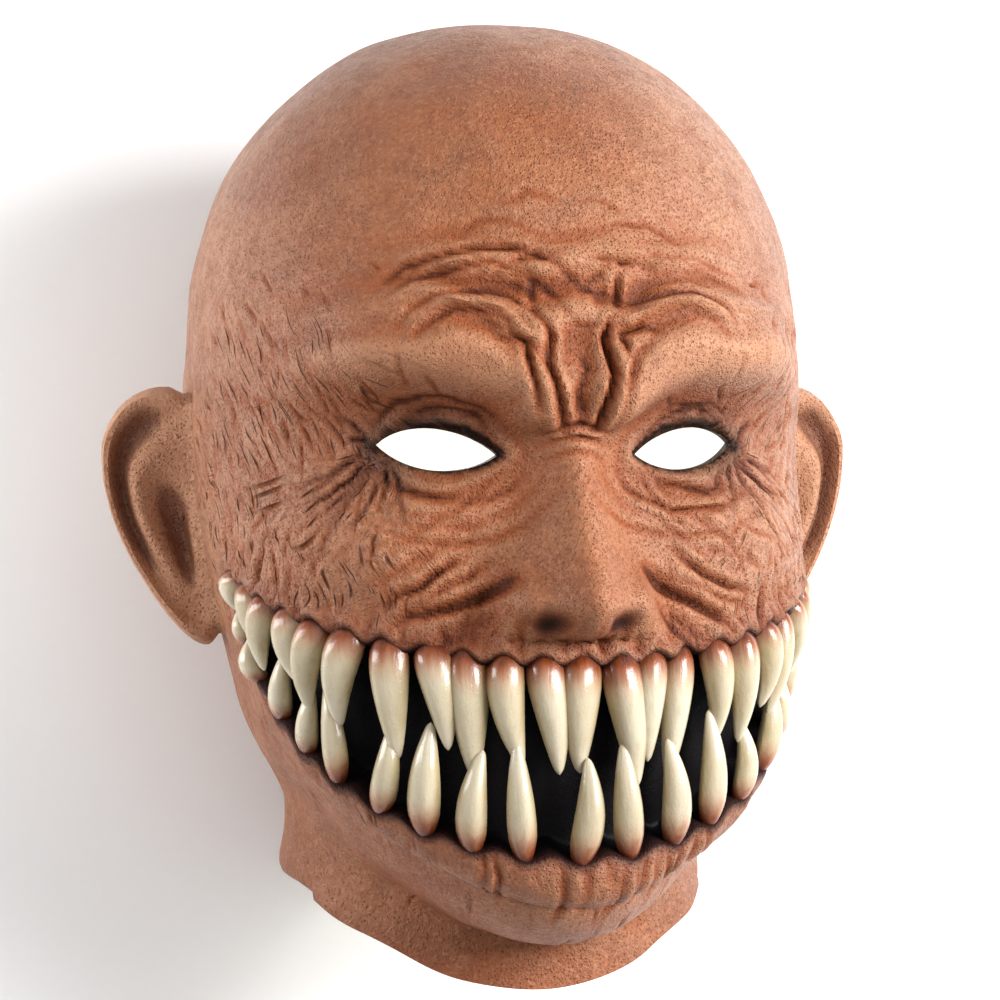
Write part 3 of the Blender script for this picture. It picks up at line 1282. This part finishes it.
def slits(tree, vector, per_metre, squash, share_cut):
    """Long thin ovals scattered over a field of lines, as a dark mask and a depth."""
    drift = add(tree, "ShaderNodeTexNoise", {"Vector": vector, "Scale": per_metre * 0.22, "Detail": 0.0})
    drift = vector_maths(tree, "SUBTRACT", {0: drift.outputs["Color"], 1: (0.5, 0.5, 0.5)})
    drift = vector_maths(tree, "SCALE", {0: drift, "Scale": 3.4 / per_metre})
    bent = vector_maths(tree, "ADD", {0: vector, 1: drift})
    settings = {"Vector": stretched(tree, bent, squash), "Scale": per_metre, "Randomness": 1.0}
    cells = add(tree, "ShaderNodeTexVoronoi", settings, voronoi_dimensions="2D")
    parts = add(tree, "ShaderNodeSeparateColor", {"Color": cells.outputs["Color"]})
    present = remap(tree, parts.outputs[0], share_cut - 0.03, share_cut + 0.03)
    size = remap(tree, parts.outputs[1], 0.0, 1.0, 0.08, 0.22)
    near = calculate(tree, "DIVIDE", cells.outputs["Distance"], size)
    mask = scaled(tree, remap(tree, near, 1.0, 0.7), present)
    depth = scaled(tree, remap(tree, near, 1.3, 0.0), present)
    return mask, depth


def gouges(tree, per_metre, squash, share_cut):
    """Slits that follow the skin's lines on the cheek and the temple, and fan out by the eye's corner."""
    mask, depth = slits(tree, own(tree, "across", "Vector"), per_metre, squash, share_cut)
    fan_mask, fan_depth = slits(tree, own(tree, "fan", "Vector"), per_metre, squash, share_cut)
    part = remap(tree, own(tree, "fan_share"), 0.4, 0.55)
    return blend_values(tree, part, mask, fan_mask), blend_values(tree, part, depth, fan_depth)


def thin_lines(tree, value, width):
    """1 on the thin lines where a noise crosses its middle, and 0 away from them."""
    gap = calculate(tree, "ABSOLUTE", calculate(tree, "SUBTRACT", value, 0.5))
    return remap(tree, gap, 0.0, width, 1.0, 0.0)


def painted_latex():
    """Tan latex with a red-brown wash in the creases, gouges, pores and specks, and black eyes and gums."""
    material, tree, shader, on_object = new_material("painted_latex")
    crease, eye, mouth = own(tree, "crease"), own(tree, "eye_paint"), own(tree, "mouth_black")
    line, fibre_share = own(tree, "lip_line"), own(tree, "fibre_share")
    blotch = noise(tree, on_object, 22.0, 4.0, 0.6)
    stain = noise(tree, on_object, 52.0, 4.0, 0.72)
    mottle = noise(tree, on_object, 210.0, 3.0, 0.72)
    grain = noise(tree, on_object, 640.0, 3.0, 0.7)
    broad_strands = strands(tree, 430.0, 0.12)
    fine_strands = strands(tree, 1000.0, 0.15)
    specks, pore_height = speckle(tree, on_object, 820.0, 1.0)
    fine_specks, fine_height = speckle(tree, on_object, 1500.0, 0.9)
    gouged = scaled(tree, own(tree, "gouge_share"), remap(tree, blotch, 0.36, 0.6, 0.55, 1.0))
    cuts, cut_depth = (scaled(tree, part, gouged) for part in gouges(tree, 420.0, 0.155, 0.2))
    nicks = scaled(tree, gouges(tree, 760.0, 0.2, 0.35)[0], gouged)
    valley = scaled(tree, remap(tree, broad_strands, 0.47, 0.33), fibre_share)
    ridge = scaled(tree, remap(tree, broad_strands, 0.54, 0.68), fibre_share)
    hairlines = scaled(tree, thin_lines(tree, fine_strands, 0.035), fibre_share)
    deep = scaled(tree, remap(tree, crease, 0.2, 0.95, 0.0, 0.78), remap(tree, mottle, 0.2, 0.5, 0.75, 1.0))
    smoke = calculate(tree, "MULTIPLY", eye, remap(tree, fine_strands, 0.3, 0.62, 0.75, 1.25), True)

    colour = blend_colours(tree, own(tree, "warmth"), COOL_TAN, WARM_TAN)
    layers = [
        (scaled(tree, own(tree, "brown"), 0.85), NECK_TAN),
        (remap(tree, blotch, 0.42, 0.7, 0.0, 0.42), PALE_TAN),
        (remap(tree, blotch, 0.47, 0.3, 0.0, 0.5), BROWN),
        (remap(tree, stain, 0.48, 0.7, 0.0, 0.6), STAIN),
        (remap(tree, mottle, 0.46, 0.72, 0.0, 0.5), BROWN),
        (remap(tree, grain, 0.5, 0.7, 0.0, 0.5), BROWN),
        (remap(tree, grain, 0.47, 0.32, 0.0, 0.45), PALE_TAN),
        (scaled(tree, ridge, 0.3), PALE_TAN),
        (scaled(tree, own(tree, "raised"), 0.6), PALE_TAN),
        (scaled(tree, valley, 0.28), BROWN),
        (scaled(tree, hairlines, 0.16), WASH),
        (scaled(tree, nicks, 0.6), WASH),
        (scaled(tree, cuts, 0.9), CUT_BROWN),
        (scaled(tree, specks, 0.5), SPECK_BROWN),
        (scaled(tree, fine_specks, 0.5), SPECK_BROWN),
        (remap(tree, crease, 0.02, 0.4, 0.0, 0.6), RUST),
        (deep, WASH),
        (remap(tree, crease, 0.75, 1.0, 0.0, 0.6), DEEP),
        (scaled(tree, own(tree, "lip_tint"), 0.25), PLUM),
        (scaled(tree, own(tree, "ear_wash"), 0.8), EAR_BROWN),
        (scaled(tree, own(tree, "ink"), 0.65), INK),
        (smoke, EYE_BLACK),
        (scaled(tree, line, 0.96), PLUM_BLACK),
        (mouth, MOUTH_BLACK),
    ]
    colour = coats(tree, colour, layers)

    black = greatest(tree, mouth, eye, line, scaled(tree, crease, 0.8), cuts)
    shader.inputs["Specular IOR Level"].default_value = LATEX_GLOSS
    tree.links.new(remap(tree, black, 0.1, 1.0, LATEX_GLOSS, 0.1), shader.inputs["Specular IOR Level"])
    height = total(
        tree,
        scaled(tree, scaled(tree, broad_strands, 0.9), remap(tree, fibre_share, 0.0, 1.0, 0.06, 1.0)),
        scaled(tree, cut_depth, -2.0),
        scaled(tree, mottle, 0.5),
        scaled(tree, grain, -0.55),
        scaled(tree, pore_height, 0.3),
        scaled(tree, fine_height, 0.14),
    )
    height = scaled(tree, height, remap(tree, mouth, 0.0, 1.0, 1.0, 0.15))
    finish(tree, shader, colour, remap(tree, mottle, 0.3, 0.75, 0.40, 0.60), height, 0.0012, 0.95)
    return material


def bare_latex():
    """The unpainted inside: pale cream latex with brush marks and small bubbles."""
    material, tree, shader, on_object = new_material("bare_latex")
    cloudy = noise(tree, on_object, 30.0, 4.0)
    brushed = noise(tree, stretched(tree, on_object, 0.2), 320.0)
    specks, height = speckle(tree, on_object, 380.0, 0.4)
    colour = blend_colours(tree, remap(tree, cloudy, 0.3, 0.7), CREAM, PALE_CREAM)
    colour = blend_colours(tree, scaled(tree, specks, 0.4), colour, AMBER_SPECK)
    relief = total(tree, brushed, scaled(tree, height, 0.3))
    finish(tree, shader, colour, remap(tree, brushed, 0.3, 0.7, 0.5, 0.66), relief, 0.0008, 0.6)
    return material


def fang_enamel():
    """Cream fangs with a glossy varnish, a burnt-orange root and faint streaks down their length."""
    material, tree, shader, on_object = new_material("fang_enamel")
    share, flank = own(tree, "length_share"), own(tree, "flank")
    streaks = noise(tree, stretched(tree, on_object, 0.12), 420.0, 4.0, 0.6)
    cloudy = noise(tree, on_object, 120.0)
    specks, height = speckle(tree, on_object, 900.0, 0.25)
    wander = total(tree, share, scaled(tree, calculate(tree, "SUBTRACT", streaks, 0.5), 0.16))
    orange = remap(tree, wander, 0.12, 0.4, 1.0, 0.0)
    red = remap(tree, wander, 0.05, 0.26, 1.0, 0.0)
    root = remap(tree, wander, 0.02, 0.12, 1.0, 0.0)
    layers = [
        (remap(tree, cloudy, 0.45, 0.75, 0.0, 0.45), CLOUD_IVORY),
        (remap(tree, streaks, 0.54, 0.74, 0.0, 0.3), STREAK_IVORY),
        (scaled(tree, remap(tree, flank, 0.2, 0.95), remap(tree, streaks, 0.3, 0.7, 0.5, 0.9)), FLANK_IVORY),
        (remap(tree, share, 0.7, 1.0, 0.0, 0.5), TIP_IVORY),
        (calculate(tree, "POWER", orange, 1.4), BURNT_ORANGE),
        (scaled(tree, red, 0.9), ROOT_RED),
        (scaled(tree, scaled(tree, flank, remap(tree, wander, 0.34, 0.08)), 0.85), FLANK_RED),
        (scaled(tree, root, 0.95), ROOT_BLACK),
        (scaled(tree, specks, 0.4), FANG_SPECK),
    ]
    ivory = blend_colours(tree, own(tree, "tint"), DARK_IVORY, PALE_IVORY)
    shader.inputs["Coat Weight"].default_value = 0.35
    shader.inputs["Coat Roughness"].default_value = 0.12
    relief = total(tree, streaks, scaled(tree, height, 0.1))
    gloss = remap(tree, cloudy, 0.3, 0.7, 0.2, 0.34)
    finish(tree, shader, coats(tree, ivory, layers), gloss, relief, 0.0006, 0.45)
    return material


def studio_floor():
    """A plain pale floor."""
    material, tree, shader, on_object = new_material("studio_floor")
    colour = blend_colours(tree, noise(tree, on_object, 300.0), FLOOR_PALE, FLOOR_WHITE)
    tree.links.new(colour, shader.inputs["Base Color"])
    shader.inputs["Roughness"].default_value = 0.9
    return material


for thing, finishes in ((skin, (painted_latex(), bare_latex())), (fangs, (fang_enamel(),))):
    thing.data.materials.clear()
    for material in finishes:
        thing.data.materials.append(material)
# faces on the hollow's wall, within this many metres, keep bare latex, the second material
AT_HOLLOW = 0.0004
for face in skin.data.polygons:
    face.material_index = int(hollow_wall.find_nearest(face.center)[3] < AT_HOLLOW)

for thing in (skin, fangs):
    select_only(thing)
    bpy.ops.object.shade_smooth_by_angle(angle=math.radians(52))
    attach(thing, "root")
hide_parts("mask")

# Floor, light and camera
bpy.ops.object.select_all(action="DESELECT")
bpy.ops.mesh.primitive_plane_add(size=6, location=(0, 0, 0))
floor = bpy.context.object
floor.name = "studio_floor"
floor.data.materials.append(studio_floor())

scene = bpy.context.scene
world = bpy.data.worlds.new("studio")
scene.world = world
world.use_nodes = True
world.node_tree.nodes["Background"].inputs[0].default_value = (1, 1, 1, 1)
world.node_tree.nodes["Background"].inputs[1].default_value = 0.44

YAW, PITCH = math.radians(14), math.radians(2)
LENS, DISTANCE = 120.5, 1.1
towards = [-math.sin(YAW) * math.cos(PITCH), math.sin(PITCH), math.cos(YAW) * math.cos(PITCH)]
view_axis = lay_down(np.array(towards))
z_axis = Vector(view_axis).normalized()
up_axis = Vector(lay_down(np.array([0.0, 1.0, 0.0])))
x_axis = up_axis.cross(z_axis).normalized()
y_axis = z_axis.cross(x_axis)
turned = Matrix((x_axis, y_axis, z_axis)).transposed().to_4x4()
AIM = Vector((0, 0, 0.11))


def soft_light(name, direction, distance, width, height, power):
    """A soft box that points at the mask, placed by the viewer's right, up and towards."""
    data = bpy.data.lights.new(name, "AREA")
    data.shape = "RECTANGLE"
    data.energy, data.size, data.size_y = power, width, height
    light = bpy.data.objects.new(name, data)
    scene.collection.objects.link(light)
    way = (x_axis * direction[0] + y_axis * direction[1] + z_axis * direction[2]).normalized()
    light.location = AIM + way * distance
    light.rotation_mode = "QUATERNION"
    light.rotation_quaternion = way.to_track_quat("Z", "Y")


# a small lamp in the hollow shows the pale inside through the eye holes
inside = bpy.data.objects.new("inside", bpy.data.lights.new("inside", "POINT"))
inside.data.energy, inside.data.shadow_soft_size = 0.26, 0.03
inside.location = Vector(place(np.array([0.0, 15.0, 20.0])))
inside.visible_camera = False
scene.collection.objects.link(inside)
soft_light("key", (1.0, 0.3, 0.62), 1.2, 0.55, 0.8, 27)
soft_light("left_strip", (-1.0, 0.12, 0.14), 0.42, 0.12, 0.5, 1.8)
soft_light("top", (0.0, 0.3, 1.0), 1.9, 1.4, 1.4, 3.0)

camera = bpy.data.objects.new("camera", bpy.data.cameras.new("camera"))
scene.collection.objects.link(camera)
camera.data.lens = LENS
camera.data.sensor_width = 36
turned.translation = AIM + z_axis * DISTANCE
camera.matrix_world = turned
scene.camera = camera
scene.view_settings.view_transform = "Standard"
